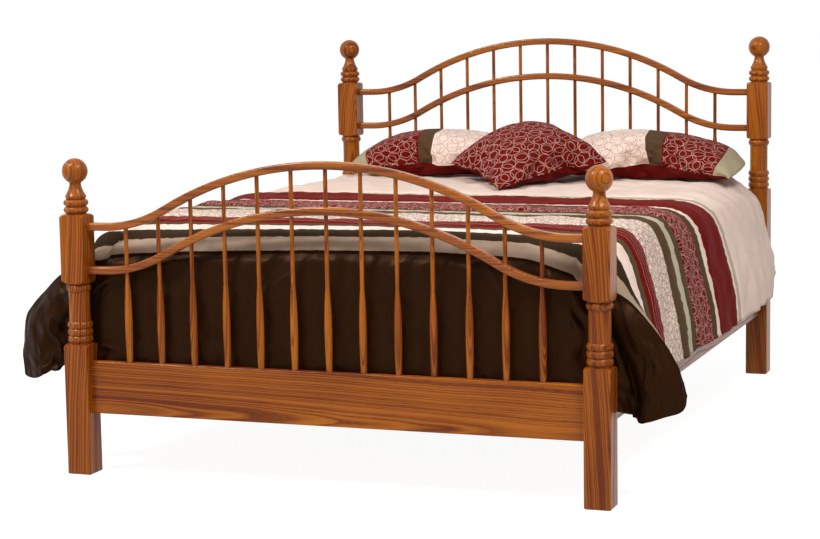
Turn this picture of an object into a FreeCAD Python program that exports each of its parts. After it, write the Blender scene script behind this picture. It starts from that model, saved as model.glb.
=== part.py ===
import FreeCAD, Part
import math
import os
from FreeCAD import Vector

# Queen bed with two arched spindle boards, in millimetres. X runs across the bed,
# Y from the foot to the head, Z up. The origin is on the floor at the middle of the bed.

# Posts: one turned and squared piece each
post_side = 76.2
post_ease = 5.0            # rounding of the long corners
post_toe = 3.0             # chamfer round the bottom
foot_block = 370.0         # lower square block of a foot post
head_block = 655.0         # the same block on a head post
corner_reach = 55.0        # a radius outside the corners of the square
shoulder_rise = 16.0       # rounded end that the lathe leaves on a square block
shoulder_radius = 33.0
shoulder_bow = 0.7         # where that rounding's middle lies, as a share of its rise and reach
groove_radius = 32.0
groove_length = 3.5
bead_radius = 37.0
bead_length = 21.0
bead_count = 3
column_radius = 31.0
column_length = 89.0
upper_block = 169.0        # square block that takes the arched rails
collar_radius = 36.5       # two beads under the finial
collar_length = 19.0
collar_groove = 29.5
vase_foot_radius = 27.0
vase_radius = 30.5
vase_foot_rise = 11.0
vase_length = 42.0
vase_swell = 1.0           # how far the vase's two curves bow from straight lines
vase_waist = 2.0
neck_radius = 17.0
ball_radius = 37.5

# Plan: the mattress, and the room that the frame leaves round it
bed_width = 1524.0
bed_length = 2032.0
side_room = 13.0           # to the inside of each side rail
head_gap = 5.4             # to the head posts
foot_room = 45.4           # to the foot posts

# Arched rails: sawn to a flat end, a hollow curve and a crown
arch_thick = 23.0
arch_depth = 28.0
arch_ease = 6.0
arch_rise = 187.0
arch_flat = 50.0
arch_hollow = 400.0        # radius of the hollow curve on the centre line
arch_gap = 128.0           # lower rail's crown below the top rail's crown
crown_rise = 560.0         # top rail's crown above the lower block
arch_tenon = 20.0
arch_tenon_high = 14.0
arch_tenon_deep = 16.0

# Bottom panel of each board
panel_height = 155.0
panel_thick = 25.0
panel_drop = 34.0          # panel's top below the top of the lower block
panel_ease = 4.0
panel_tenon = 22.0
panel_tenon_thick = 12.0
panel_tenon_shoulder = 15.0

# Turned spindles
spindle_count = 13
spindle_end = 121.8         # first spindle's middle to the post
spindle_foot = 8.5         # radius where it meets the panel
spindle_belly = 10.9
spindle_shank = 6.0
spindle_bow = 0.75         # how full the swelling is half way to the belly
belly_rise = 125.0
shank_rise = 240.0
spindle_pin = 20.0         # depth into the panel
spindle_head = 13.0        # depth into the top rail

# Side rails, ledgers and slats
side_rail_height = 146.0
side_rail_thick = 25.0
side_rail_bottom = 218.0
side_rail_ease = 3.0
ledger_height = 32.0
ledger_thick = 25.0
ledger_end = 60.0          # the ledger stops this far from each post
slat_count = 5
slat_width = 89.0
slat_thick = 19.0
slat_end = 191.4           # first slat's middle to the posts
slat_play = 1.0

# Steel bed-rail fittings
plate_width = 16.0
plate_height = 120.0
plate_thick = 3.0
hook_offset = 30.0         # two hooks, above and below the plate's middle
hook_thick = 4.5
hook_high = 10.0
hook_drop = 9.0
hook_reach = 5.2
slot_width = 6.0
slot_high = 22.0
pocket_width = 10.0
pocket_depth = 14.0
pocket_play = 3.0          # free space under a hook
screw_offset = 50.0
screw_head = 4.2
screw_head_high = 2.4
screw_shank = 2.0
screw_length = 26.0
ledger_screw_count = 6
ledger_screw_length = 40.0

# Bedding
foundation_height = 229.0
foundation_corner = 60.0
foundation_ease = 10.0
mattress_height = 203.0
mattress_corner = 85.0
mattress_ease = 42.0
cloth = 14.0               # thickness of the quilted cover where it hangs
top_cloth = 19.0           # the same on top of the mattress
foot_play = 6.0            # between the mattress and the inside of the cover
side_play = 50.0           # the same at the sides, where the quilted cover bulges over the edge
hollow_inset = 20.0        # how far the hollow in a side drop reaches under the mattress's edge
past_hem = 60.0            # how far the hollows are cut past the hem
side_tuck = 85.0           # rounding over the mattress edge
hem_height = 322.0
hem_out = 135.0            # how far the side hem stands out from the mattress
hem_bow = 0.55             # how far out the drop is half way down to the hem, as a share of the hem's
fold_depth = 12.0
fold_pitch = 165.0         # from a crest to the next hollow
station_pitch = 82.5
flare_out = 250.0          # how far the corner beside each foot post spreads out from the mattress
flare_bow = 0.8
flare_hem = 262.0
flare_place = 20.0
flare_length = 230.0
head_out = 104.0           # the hem beside the head posts
head_spread = 300.0
foot_roll = 34.0           # rounding of the cover's top at the foot corners
foot_sink = 46.0
foot_lap = 12.0            # how far the foot drop is joined into the cover's top
foot_step = 2.0            # how far that joint lies under the top
foot_shelf = 30.0          # slope over the hollow in the foot drop
foot_fold_depth = 18.0
foot_fold_count = 14       # crests and hollows across the foot drop
post_gap = 7.4             # between the cover's foot drop and the posts
notch_play = 7.0           # round the side rails, where the cover's foot end laps over them
sham_width = 636.0
sham_depth = 357.0
sham_top = 78.0
sham_under = 58.0
sham_tilt = 15.0
sham_seat = 0.94           # share of the underside left above the cover when it is pressed flat
sham_settle = 0.1          # share of the depth by which the tilt moves the lowest line
sham_head_gap = 2.0
left_sham_x = -358.0
right_sham_x = 446.0
throw_side = 445.0
throw_top = 92.0
throw_under = 60.0
throw_turn = 48.5
throw_tilt = 14.0
throw_sink = 15.0          # how far it sinks in between the shams
throw_head_gap = 338.0     # from its middle to the mattress's head end

# Clearances
tenon_fit = 0.2
pin_fit = 0.15
plate_fit = 0.2
rest_gap = 0.3             # under a soft piece
pillow_gap = 0.5           # between the throw pillow and the shams
cover_fit = 1.0            # between the mattress's sides and the cover
lift_gap = 3.5             # between the foot drop and the board in front of it

post_x = bed_width / 2 + side_room + side_rail_thick / 2
board_span = 2 * post_x - post_side                     # clear width between the two posts of a board
rail_length = bed_length + head_gap + foot_room         # clear length between the foot and head posts
post_y = (rail_length + post_side) / 2
spindle_pitch = (board_span - 2 * spindle_end) / (spindle_count - 1)
slat_pitch = (rail_length - 2 * slat_end) / (slat_count - 1)
half_side = post_side / 2
side_rail_z = side_rail_bottom + side_rail_height / 2
side_rail_top = side_rail_bottom + side_rail_height
foundation_z = side_rail_bottom + ledger_height + slat_thick + rest_gap
mattress_z = foundation_z + foundation_height + rest_gap
mattress_top = mattress_z + mattress_height
bed_top = mattress_top + rest_gap + top_cloth
bed_head = rail_length / 2 - head_gap
bed_foot = bed_head - bed_length
cover_foot = bed_foot - cloth - foot_play
round_over = 1 - math.sqrt(0.5)    # share of a radius from a quarter circle's middle to its corner


def save(shape, node):
    shape.exportStep("parts/" + node + ".step")
    solids = shape.Solids
    print("%-18s %2d solid  valid %s  %10.1f cm3" % (node, len(solids), shape.isValid(), shape.Volume / 1000))


def box(low, high):
    size = Vector(*high) - Vector(*low)
    return Part.makeBox(size.x, size.y, size.z, Vector(*low))


def edges_along(shape, axis):
    # straight edges that run along one direction
    found = []
    for edge in shape.Edges:
        if isinstance(edge.Curve, Part.Line) and abs(edge.tangentAt(edge.FirstParameter).dot(axis)) > 0.999:
            found.append(edge)
    return found


def ease(shape, radius, axis):
    return shape.makeFillet(radius, edges_along(shape, axis))


def mirrored(shape, normal):
    return shape.mirror(Vector(0, 0, 0), normal)


class Turning:
    # half outline of a lathe-turned piece, drawn upwards and turned about Z

    def __init__(self, radius, z):
        self.start = z
        self.edges = [Part.LineSegment(Vector(0, 0, z), Vector(radius, 0, z)).toShape()]
        self.r = radius
        self.z = z

    def line(self, radius, rise):
        end = Vector(radius, 0, self.z + rise)
        self.edges.append(Part.LineSegment(Vector(self.r, 0, self.z), end).toShape())
        self.r, self.z = radius, end.z

    def arc(self, mid_radius, mid_rise, radius, rise):
        mid = Vector(mid_radius, 0, self.z + mid_rise)
        end = Vector(radius, 0, self.z + rise)
        self.edges.append(Part.Arc(Vector(self.r, 0, self.z), mid, end).toShape())
        self.r, self.z = radius, end.z

    def step(self, radius):
        if abs(radius - self.r) > 1e-6:
            self.line(radius, 0)

    def bead(self, radius, length):
        self.arc(radius, length / 2, self.r, length)

    def solid(self):
        if self.r > 0:
            self.line(0, 0)
        self.edges.append(Part.LineSegment(Vector(0, 0, self.z), Vector(0, 0, self.start)).toShape())
        face = Part.Face(Part.Wire(self.edges))
        return face.revolve(Vector(0, 0, 0), Vector(0, 0, 1), 360)


def turned_post(block):
    reach = corner_reach - shoulder_radius
    lathe = Turning(corner_reach, 0)
    lathe.line(corner_reach, block)
    over = shoulder_radius + shoulder_bow * reach
    lathe.arc(over, shoulder_bow * shoulder_rise, shoulder_radius, shoulder_rise)
    lathe.step(groove_radius)
    lathe.line(groove_radius, groove_length)
    for _ in range(bead_count):
        lathe.bead(bead_radius, bead_length)
    lathe.step(column_radius)
    lathe.line(column_radius, column_length)
    lathe.step(groove_radius)
    lathe.bead(bead_radius, bead_length)
    lathe.line(groove_radius, groove_length)
    lathe.step(shoulder_radius)
    lathe.arc(over, (1 - shoulder_bow) * shoulder_rise, corner_reach, shoulder_rise)
    lathe.line(corner_reach, upper_block)
    lathe.arc(over, shoulder_bow * shoulder_rise, shoulder_radius, shoulder_rise)
    lathe.step(collar_groove)
    lathe.line(collar_groove, groove_length)
    lathe.bead(collar_radius, collar_length)
    lathe.line(collar_groove, groove_length / 2)
    lathe.bead(collar_radius, collar_length)
    lathe.step(vase_foot_radius)
    lathe.arc((vase_foot_radius + vase_radius) / 2 + vase_swell, vase_foot_rise / 2, vase_radius, vase_foot_rise)
    taper = vase_length - vase_foot_rise
    lathe.arc((vase_radius + neck_radius) / 2 - vase_waist, taper / 2, neck_radius, taper)
    chord = math.sqrt(ball_radius ** 2 - neck_radius ** 2)
    lathe.line(neck_radius, finial_neck())
    lathe.arc(ball_radius, chord, 0, chord + ball_radius)
    height = lathe.z
    square = Part.makeBox(post_side, post_side, height, Vector(-half_side, -half_side, 0))
    square = ease(square, post_ease, Vector(0, 0, 1))
    toe = [edge for edge in square.Edges if edge.BoundBox.ZMax < 0.01]
    square = square.makeChamfer(post_toe, toe)
    return square.common(lathe.solid())


def finial_neck():
    # straight stretch of the neck that brings the ball's top level with the top rail's crown
    below = 3 * shoulder_rise + 2.5 * groove_length + (bead_count + 1) * bead_length + column_length
    below += upper_block + 2 * collar_length + vase_length + groove_length
    chord = math.sqrt(ball_radius ** 2 - neck_radius ** 2)
    return crown_rise - below - chord - ball_radius


def arch_centre(x):
    # height of an arched rail's centre line above its flat ends
    bend, crown = arch_radii()
    reach = board_span / 2 - arch_flat
    x = abs(x)
    if x >= reach:
        return 0.0
    if x > reach * crown / (bend + crown):
        return bend - math.sqrt(bend ** 2 - (reach - x) ** 2)
    return arch_rise - crown + math.sqrt(crown ** 2 - x ** 2)


def arch_radii():
    # hollow and crown radii of the centre line, which meet in a smooth S
    reach = board_span / 2 - arch_flat
    both = (reach ** 2 + arch_rise ** 2) / (2 * arch_rise)
    return arch_hollow, both - arch_hollow


def arch_side(offset):
    # right half of one long edge of the rail, at an offset from the centre line, and its end
    bend, crown = arch_radii()
    reach = board_span / 2 - arch_flat
    hollow_centre = Vector(reach, 0, bend)
    crown_centre = Vector(0, 0, arch_rise - crown)
    low = bend - offset
    high = crown + offset
    slope = math.atan2(crown_centre.z - hollow_centre.z, -hollow_centre.x) % (2 * math.pi)
    tilt = slope - math.pi
    join = hollow_centre + Vector(math.cos(slope), 0, math.sin(slope)) * low
    bottom = hollow_centre + Vector(0, 0, -low)
    turn = (slope + 1.5 * math.pi) / 2
    middle = hollow_centre + Vector(math.cos(turn), 0, math.sin(turn)) * low
    top = crown_centre + Vector(0, 0, high)
    lean = (tilt + math.pi / 2) / 2
    shoulder = crown_centre + Vector(math.cos(lean), 0, math.sin(lean)) * high
    end = Vector(board_span / 2, 0, offset)
    right = [Part.Arc(top, shoulder, join), Part.Arc(join, middle, bottom), Part.LineSegment(bottom, end)]
    return right, end


def arched_rail(flat_z, board_y):
    wires = []
    for offset in (arch_thick / 2, -arch_thick / 2):
        right, end = arch_side(offset)
        edges = [curve.toShape() for curve in right]
        wires.append((edges + [mirrored(edge, Vector(1, 0, 0)) for edge in edges], end))
    ends = []
    for side in (1, -1):
        high = Vector(side * wires[0][1].x, 0, wires[0][1].z)
        low = Vector(side * wires[1][1].x, 0, wires[1][1].z)
        ends.append(Part.LineSegment(high, low).toShape())
    loop = Part.Wire(Part.__sortEdges__(wires[0][0] + wires[1][0] + ends))
    rail = Part.Face(loop).extrude(Vector(0, arch_depth, 0))
    rail.translate(Vector(0, -arch_depth / 2, 0))
    long_edges = []
    for edge in rail.Edges:
        bounds = edge.BoundBox
        if bounds.YLength < 0.01 and bounds.XLength > 1:
            long_edges.append(edge)
    rail = rail.makeFillet(arch_ease, long_edges)
    for side in (1, -1):
        inner = side * (board_span / 2 - 1)
        outer = side * (board_span / 2 + arch_tenon)
        low = (min(inner, outer), -arch_tenon_deep / 2, -arch_tenon_high / 2)
        high = (max(inner, outer), arch_tenon_deep / 2, arch_tenon_high / 2)
        rail = rail.fuse(box(low, high))
    rail = rail.removeSplitter()
    rail.translate(Vector(0, board_y, flat_z))
    return rail


def rail_heights(block):
    # flat-end heights of the top and lower arched rails' centre lines
    top = block + crown_rise - arch_thick / 2 - arch_rise
    return top, top - arch_gap


def spindle_places():
    return [(index - (spindle_count - 1) / 2) * spindle_pitch for index in range(spindle_count)]


def spindle(x, board_y, block):
    panel_top = block - panel_drop
    end = rail_heights(block)[0] + arch_centre(x) - arch_thick / 2 + spindle_head
    lathe = Turning(spindle_shank, panel_top - spindle_pin)
    lathe.line(spindle_shank, spindle_pin)
    lathe.step(spindle_foot)
    lathe.arc(spindle_foot + spindle_bow * (spindle_belly - spindle_foot), belly_rise / 2, spindle_belly, belly_rise)
    taper = shank_rise - belly_rise
    lathe.arc(spindle_shank + spindle_bow * (spindle_belly - spindle_shank), taper / 2, spindle_shank, taper)
    lathe.line(spindle_shank, end - lathe.z)
    body = lathe.solid()
    body.translate(Vector(x, board_y, 0))
    return body


def drilled(rail, board_y, low, depths):
    # bores one hole for each spindle, from a height under the rail up to a depth for each
    for x, top in zip(spindle_places(), depths):
        hole = Part.makeCylinder(spindle_shank + pin_fit, top - low, Vector(x, board_y, low))
        rail = rail.cut(hole)
    return rail


def top_rail(block, board_y):
    flat_z = rail_heights(block)[0]
    ends = [flat_z + arch_centre(x) - arch_thick / 2 + spindle_head + pin_fit for x in spindle_places()]
    rail = arched_rail(flat_z, board_y)
    return drilled(rail, board_y, flat_z - arch_thick, ends)


def lower_rail(block, board_y):
    flat_z = rail_heights(block)[1]
    ends = [flat_z + arch_rise + 2 * arch_thick for _ in spindle_places()]
    rail = arched_rail(flat_z, board_y)
    return drilled(rail, board_y, flat_z - 2 * arch_thick, ends)


def panel(block, board_y):
    top = block - panel_drop
    half = board_span / 2
    board = box((-half, -panel_thick / 2, top - panel_height), (half, panel_thick / 2, top))
    board = ease(board, panel_ease, Vector(1, 0, 0))
    reach = half + panel_tenon
    tongue = box((-reach, -panel_tenon_thick / 2, top - panel_height + panel_tenon_shoulder),
                 (reach, panel_tenon_thick / 2, top - panel_tenon_shoulder))
    board = board.fuse(tongue).removeSplitter()
    board.translate(Vector(0, board_y, 0))
    for x in spindle_places():
        depth = spindle_pin + pin_fit
        start = Vector(x, board_y, top - depth)
        board = board.cut(Part.makeCylinder(spindle_shank + pin_fit, depth + 1, start))
    return board


def post(block, side, end):
    # side is -1 at the left and 1 at the right, end is -1 at the foot and 1 at the head
    body = turned_post(block)
    inner = -side * half_side
    fit = tenon_fit
    for flat_z in rail_heights(block):
        deep = inner + side * (arch_tenon + fit)
        body = body.cut(box((min(inner - side, deep), -arch_tenon_deep / 2 - fit, flat_z - arch_tenon_high / 2 - fit),
                            (max(inner - side, deep), arch_tenon_deep / 2 + fit, flat_z + arch_tenon_high / 2 + fit)))
    top = block - panel_drop - panel_tenon_shoulder
    low = block - panel_drop - panel_height + panel_tenon_shoulder
    deep = inner + side * (panel_tenon + fit)
    body = body.cut(box((min(inner - side, deep), -panel_tenon_thick / 2 - fit, low - fit),
                        (max(inner - side, deep), panel_tenon_thick / 2 + fit, top + fit)))
    body = body.cut(fitting_recess(-end))
    body.translate(Vector(side * post_x, end * post_y, 0))
    return body


def fitting_recess(facing):
    # shallow seat for the slot plate, two pockets behind it for the hooks and two screw holes
    face = facing * half_side
    fit = plate_fit
    seat = across((-plate_width / 2 - fit, -plate_height / 2 - fit), (plate_width / 2 + fit, plate_height / 2 + fit),
                  face, facing, -1, plate_thick)
    for middle in (-hook_offset, hook_offset):
        pocket = across((-pocket_width / 2, middle - hook_drop - pocket_play),
                        (pocket_width / 2, middle + slot_high), face, facing, 0, pocket_depth)
        seat = seat.fuse(pocket)
    for height in (-screw_offset, screw_offset):
        seat = seat.fuse(pilot(0, face, side_rail_z + height, facing))
    return seat


def across(low, high, face, facing, start, depth):
    # box let into a face that looks along Y; low and high are (x, height from the fitting's middle)
    ends = (face - facing * start, face - facing * depth)
    return box((low[0], min(ends), side_rail_z + low[1]), (high[0], max(ends), side_rail_z + high[1]))


def pilot(x, face, z, facing):
    radius = screw_shank + pin_fit
    return Part.makeCylinder(radius, screw_length + 1, Vector(x, face, z), Vector(0, -facing, 0))


def screw(length, place, along):
    lathe = Turning(screw_head, 0)
    lathe.line(screw_shank, screw_head_high)
    lathe.line(screw_shank, length - screw_head_high - screw_shank)
    lathe.line(0, screw_shank)
    body = lathe.solid()
    body.Placement = FreeCAD.Placement(place, FreeCAD.Rotation(Vector(0, 0, 1), along))
    return body


def screw_seat(place, along):
    # countersunk hole through a plate
    lathe = Turning(screw_head + plate_fit, 0)
    lathe.line(screw_shank + plate_fit, screw_head_high)
    lathe.line(screw_shank + plate_fit, plate_thick)
    body = lathe.solid()
    body.Placement = FreeCAD.Placement(place, FreeCAD.Rotation(Vector(0, 0, 1), along))
    return body


def slot_plate(side, end):
    # let into a post, its face flush with the post's; the hooks go through its two slots
    facing = -end
    face = end * rail_length / 2
    plate = across((-plate_width / 2, -plate_height / 2), (plate_width / 2, plate_height / 2),
                   face, facing, 0, plate_thick)
    for middle in (-hook_offset, hook_offset):
        plate = plate.cut(across((-slot_width / 2, middle), (slot_width / 2, middle + slot_high),
                                 face, facing, -1, plate_thick + 1))
    for height in (-screw_offset, screw_offset):
        plate = plate.cut(screw_seat(Vector(0, face, side_rail_z + height), Vector(0, -facing, 0)))
    plate.translate(Vector(side * post_x, 0, 0))
    return plate


def hook_plate(side, end):
    # let into the end of a side rail; each hook drops behind the slot plate
    facing = -end
    face = end * rail_length / 2
    plate = across((-plate_width / 2, -plate_height / 2), (plate_width / 2, plate_height / 2),
                   face, -facing, 0, plate_thick)
    behind = plate_thick + pin_fit
    for middle in (-hook_offset, hook_offset):
        neck = across((-hook_thick / 2, middle + pin_fit), (hook_thick / 2, middle + hook_high),
                      face, facing, -1, behind + hook_reach)
        finger = across((-hook_thick / 2, middle - hook_drop), (hook_thick / 2, middle + hook_high),
                        face, facing, behind, behind + hook_reach)
        plate = plate.fuse(neck).fuse(finger)
    for height in (-screw_offset, screw_offset):
        plate = plate.cut(screw_seat(Vector(0, face, side_rail_z + height), Vector(0, facing, 0)))
    plate = plate.removeSplitter()
    plate.translate(Vector(side * post_x, 0, 0))
    return plate


def plate_screws():
    screws = []
    for side in (-1, 1):
        for end in (-1, 1):
            for height in (-screw_offset, screw_offset):
                place = Vector(side * post_x, end * (rail_length / 2), side_rail_z + height)
                sunk = Vector(0, end * plate_fit, 0)
                screws.append(screw(screw_length, place + sunk, Vector(0, end, 0)))
                screws.append(screw(screw_length, place - sunk, Vector(0, -end, 0)))
    return Part.makeCompound(screws)


def side_rail(side):
    half = rail_length / 2
    low = (post_x - side_rail_thick / 2, -half, side_rail_bottom)
    high = (post_x + side_rail_thick / 2, half, side_rail_bottom + side_rail_height)
    rail = ease(box(low, high), side_rail_ease, Vector(0, 1, 0))
    fit = plate_fit
    for end in (-1, 1):
        face = end * half
        seat = across((post_x - plate_width / 2 - fit, -plate_height / 2 - fit),
                      (post_x + plate_width / 2 + fit, plate_height / 2 + fit), face, end, -1, plate_thick)
        rail = rail.cut(seat)
        for height in (-screw_offset, screw_offset):
            rail = rail.cut(pilot(post_x, face, side_rail_z + height, end))
    for place in ledger_screw_places():
        rail = rail.cut(ledger_hole(place))
    return rail if side > 0 else mirrored(rail, Vector(1, 0, 0))


def ledger(side):
    inner = post_x - side_rail_thick / 2
    half = rail_length / 2 - ledger_end
    strip = box((inner - ledger_thick, -half, side_rail_bottom), (inner, half, side_rail_bottom + ledger_height))
    for place in ledger_screw_places():
        strip = strip.cut(ledger_hole(place))
        strip = strip.cut(screw_seat(place, Vector(1, 0, 0)))
    return strip if side > 0 else mirrored(strip, Vector(1, 0, 0))


def ledger_screw_places():
    x = post_x - side_rail_thick / 2 - ledger_thick
    span = rail_length - 4 * ledger_end
    step = span / (ledger_screw_count - 1)
    z = side_rail_bottom + ledger_height / 2
    return [Vector(x, index * step - span / 2, z) for index in range(ledger_screw_count)]


def ledger_hole(place):
    return Part.makeCylinder(screw_shank + pin_fit, ledger_screw_length + 1, place, Vector(1, 0, 0))


def ledger_screws():
    screws = []
    for place in ledger_screw_places():
        one = screw(ledger_screw_length, place + Vector(plate_fit, 0, 0), Vector(1, 0, 0))
        screws.append(one)
        screws.append(mirrored(one, Vector(1, 0, 0)))
    return Part.makeCompound(screws)


def slat(index):
    half = post_x - side_rail_thick / 2 - slat_play
    y = (index - (slat_count - 1) / 2) * slat_pitch
    z = side_rail_bottom + ledger_height
    return box((-half, y - slat_width / 2, z), (half, y + slat_width / 2, z + slat_thick))


def upholstered_block(low_z, height, corner, rounding, grow=0.0):
    # mattress-like block on the bed's plan, rounded at its corners and along its edges
    half = bed_width / 2 + grow
    block = box((-half, bed_foot - grow, low_z), (half, bed_head + grow, low_z + height))
    block = ease(block, corner, Vector(0, 0, 1))
    rims = [edge for edge in block.Edges if edge.BoundBox.ZLength < 0.01]
    return block.makeFillet(rounding, rims)


def foundation():
    return upholstered_block(foundation_z, foundation_height, foundation_corner, foundation_ease)


def mattress():
    return upholstered_block(mattress_z, mattress_height, mattress_corner, mattress_ease)


def closed_wire(points, arcs):
    # straight edges between the points, except where arcs gives a point to pass through
    edges = []
    for index, start in enumerate(points):
        end = points[(index + 1) % len(points)]
        if index in arcs:
            edges.append(Part.Arc(start, arcs[index], end).toShape())
        else:
            edges.append(Part.LineSegment(start, end).toShape())
    return Part.Wire(edges)


def bell(distance, length):
    # 1 at the middle, easing to 0 at a distance either side
    if abs(distance) >= length:
        return 0.0
    return math.cos(math.pi / 2 * distance / length) ** 2


def side_drop(y, inset=0.0):
    # the side drop at a place along the bed: its hem, its middle and the start of the rounded edge
    place = y - cover_foot
    foot = max(0.0, 1 - place / foot_roll)
    inset += cloth * foot
    flare = bell(place - flare_place, flare_length)
    folds = fold_depth * math.sin(math.pi * place / fold_pitch) * (1 - flare)
    out = hem_out + (flare_out - hem_out) * flare + folds + (head_out - hem_out) * bell(y - bed_head, head_spread)
    hem = Vector(bed_width / 2 + out - inset, y, hem_height - (hem_height - flare_hem) * flare)
    edge = Vector(bed_width / 2 + cloth + side_play - inset, y, bed_top - foot_sink * foot - side_tuck)
    bow = hem_bow + (flare_bow - hem_bow) * flare
    return [hem, Vector(edge.x + bow * (hem.x - edge.x), y, (hem.z + edge.z) / 2), edge]


def both_sides(side):
    # closes an outline with its mirror image
    return side + [Vector(-point.x, point.y, point.z) for point in side[::-1]]


def stations(first, last):
    count = round((last - first) / station_pitch)
    return [first + (last - first) * index / count for index in range(count + 1)]


def cover_section(y):
    # outline across the bed: hem, side, rounded edge, top
    side = side_drop(y)
    edge = side[-1]
    flat = edge + Vector(-side_tuck, 0, side_tuck)
    turn = edge + Vector(-round_over * side_tuck, 0, (1 - round_over) * side_tuck)
    points = both_sides(side + [flat])
    return closed_wire(points, {2: turn, 4: Vector(-turn.x, y, turn.z)})


def skirt_section(y, past=0.0):
    # hollow under the side drops, one cloth inside the outline
    hem, middle, edge = side_drop(y, cloth)
    below = hem + (hem - middle) * (past_hem / (middle.z - hem.z))
    apex = Vector(bed_width / 2 - hollow_inset, y, mattress_top - mattress_ease)
    points = both_sides([below, middle, edge, apex])
    return closed_wire([point + Vector(0, past, 0) for point in points], {})


def foot_stations(inset):
    # (x, front of the cloth) across the foot drop, from a crest at one post to a crest at the other
    half = board_span / 2 - post_gap
    crest = -post_y + arch_depth / 2 + lift_gap
    rows = []
    steps = 2 * foot_fold_count
    for index in range(steps + 1):
        x = half * (2 * index / steps - 1)
        front = crest + foot_fold_depth * (1 - math.cos(math.pi * index / 2)) / 2
        rows.append((max(inset - half, min(half - inset, x)), front))
    return rows


def foot_section(x, front):
    back = bed_foot + foot_lap
    turn = Vector(x, front + round_over * (back - front), bed_top - round_over * side_tuck)
    points = [Vector(x, back, bed_top - foot_step), Vector(x, front, bed_top - side_tuck),
              Vector(x, front, hem_height), Vector(x, back, hem_height)]
    return closed_wire(points, {0: turn})


def foot_hollow_section(x, front):
    back = bed_foot + foot_lap / 2
    inner = front + cloth
    high = mattress_top - side_tuck
    drop = hem_height - past_hem
    points = [Vector(x, back, high), Vector(x, inner, high - foot_shelf), Vector(x, inner, drop), Vector(x, back, drop)]
    return closed_wire(points, {})


def loft(wires):
    return Part.makeLoft(wires, True, False)


def comforter():
    roll = cover_foot + foot_roll
    places = [cover_foot, cover_foot + foot_roll / 2] + stations(roll, bed_head)
    body = loft([cover_section(y) for y in places])
    body = body.fuse(loft([foot_section(x, front) for x, front in foot_stations(0)]))
    low = hem_height - past_hem
    hollow = upholstered_block(low, mattress_top - low + rest_gap, mattress_corner, mattress_ease, cover_fit)
    half = bed_width / 2 + cover_fit
    runout = box((-half, bed_head - mattress_corner, low), (half, bed_head + cloth, mattress_top - mattress_ease))
    skirt = [skirt_section(y) for y in stations(cover_foot + cloth, bed_head)]
    skirt.append(skirt_section(bed_head, cloth))
    pocket = loft([foot_hollow_section(x, front) for x, front in foot_stations(cloth)])
    notch = box((post_x - side_rail_thick / 2 - notch_play, cover_foot - cloth, low),
                (post_x + side_rail_thick / 2 + notch_play, cover_foot + 2 * cloth, side_rail_top + notch_play))
    for tool in (hollow, runout, loft(skirt), pocket, notch, mirrored(notch, Vector(1, 0, 0))):
        body = body.cut(tool)
    return max(body.Solids, key=lambda solid: solid.Volume)


def cushion(width, depth, top, under, grow=0.0):
    # crowned form with a seam all round, thin at its ends and drawn in between its corners
    share = ((-1.0, 0.1, 1.0), (-0.84, 0.52, 0.985), (-0.5, 0.88, 0.96), (0.0, 1.0, 0.95))
    share = share + tuple((-u, high, deep) for u, high, deep in share[-2::-1])
    wires = []
    for u, high, deep in share:
        x = u * (width / 2 + grow)
        half = deep * depth / 2 + grow
        left = Vector(x, -half, 0)
        right = Vector(x, half, 0)
        over = Part.Arc(left, Vector(x, 0, high * top + grow), right).toShape()
        below = Part.Arc(right, Vector(x, 0, -high * under - grow), left).toShape()
        wires.append(Part.Wire([over, below]))
    return loft(wires)


def resting(shape):
    # flat where it lies on the cover
    reach = 2 * bed_width
    return shape.cut(box((-reach, -reach, 0), (reach, reach, bed_top + rest_gap)))


def sham(x, grow=0.0):
    body = cushion(sham_width, sham_depth, sham_top, sham_under, grow)
    body.rotate(Vector(0, 0, 0), Vector(1, 0, 0), sham_tilt)
    lean = math.radians(sham_tilt)
    back = bed_head - sham_head_gap - sham_depth / 2 * math.cos(lean)
    rise = sham_seat * sham_under + sham_settle * sham_depth * math.sin(lean)
    body.translate(Vector(x, back, bed_top + rise))
    return body


def throw_pillow():
    body = cushion(throw_side, throw_side, throw_top, throw_under)
    body.rotate(Vector(0, 0, 0), Vector(0, 0, 1), throw_turn)
    body.rotate(Vector(0, 0, 0), Vector(1, 0, 0), throw_tilt)
    middle = (left_sham_x + right_sham_x) / 2
    body.translate(Vector(middle, bed_head - throw_head_gap, bed_top + throw_top - throw_sink))
    for x in (left_sham_x, right_sham_x):
        body = body.cut(sham(x, pillow_gap))
    body = resting(body)
    return max(body.Solids, key=lambda solid: solid.Volume)


def boards():
    for name, block, end in (("foot", foot_block, -1), ("head", head_block, 1)):
        y = end * post_y
        save(post(block, -1, end), name + "_post_left")
        save(post(block, 1, end), name + "_post_right")
        save(top_rail(block, y), name + "_top_rail")
        save(lower_rail(block, y), name + "_lower_rail")
        save(panel(block, y), name + "_panel")
        for index, x in enumerate(spindle_places()):
            save(spindle(x, y, block), "%s_spindle_%02d" % (name, index + 1))


def frame_sides():
    for name, side in (("left", -1), ("right", 1)):
        save(side_rail(side), "side_rail_" + name)
        save(ledger(side), "ledger_" + name)
    for index in range(slat_count):
        save(slat(index), "slat_%d" % (index + 1))
    corners = [(side, end) for side in (-1, 1) for end in (-1, 1)]
    save(Part.makeCompound([slot_plate(side, end) for side, end in corners]), "slot_plates")
    save(Part.makeCompound([hook_plate(side, end) for side, end in corners]), "hook_plates")
    save(plate_screws(), "plate_screws")
    save(ledger_screws(), "ledger_screws")


def bedding():
    save(foundation(), "foundation")
    save(mattress(), "mattress")
    save(comforter(), "comforter")
    save(resting(sham(left_sham_x)), "sham_left")
    save(resting(sham(right_sham_x)), "sham_right")
    save(throw_pillow(), "throw_pillow")


os.makedirs("parts", exist_ok=True)
boards()
frame_sides()
bedding()
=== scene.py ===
# Oak spindle bed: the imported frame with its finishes, and the bedding modelled here.
import math

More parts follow.
